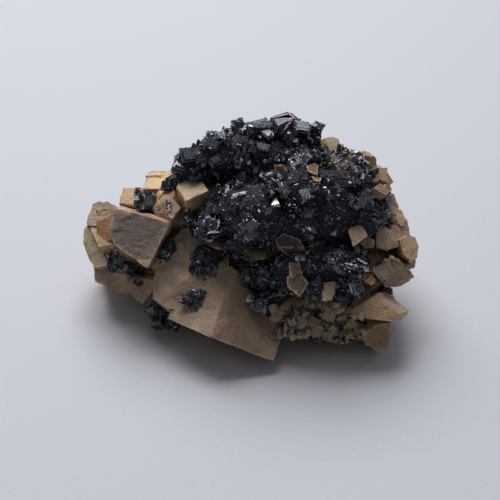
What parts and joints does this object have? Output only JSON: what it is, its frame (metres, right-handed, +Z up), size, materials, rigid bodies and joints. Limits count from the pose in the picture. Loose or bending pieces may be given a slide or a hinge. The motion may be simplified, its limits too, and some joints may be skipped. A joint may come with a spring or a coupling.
{
  "type": "mineral specimen",
  "caption": "Hand-sized mineral specimen: black faceted crystals grown over a body of brown rhomb-shaped crystals, resting on its broken flat underside.",
  "frame": {"origin": "under the middle of the specimen's box, on the surface that it rests on", "axes": "+X to the right and -Y to the front, as the picture shows it; +Z up"},
  "size_m": [0.0948, 0.0676, 0.0553],
  "materials": {
    "carbonate": "earthy, sugary carbonate crystal faces",
    "sphalerite": "black sphalerite, resinous to glassy on the faces",
    "chalcopyrite": "bright pale brassy crystal face"
  },
  "bodies": {
    "root": {"carbonate_matrix": "carbonate", "sphalerite_main": "sphalerite", "sphalerite_patch_corner": "sphalerite", "sphalerite_patch_foot": "sphalerite", "sphalerite_patch_front": "sphalerite", "sphalerite_patch_left_gap": "sphalerite", "sphalerite_patch_left_pocket": "sphalerite", "sphalerite_patch_low": "sphalerite", "sphalerite_patch_right": "sphalerite", "sphalerite_patch_seam": "sphalerite", "sphalerite_patch_wedge": "sphalerite", "sphalerite_patch_wedge_top": "sphalerite", "chalcopyrite_crystal": "chalcopyrite"}
  },
  "joints": []
}
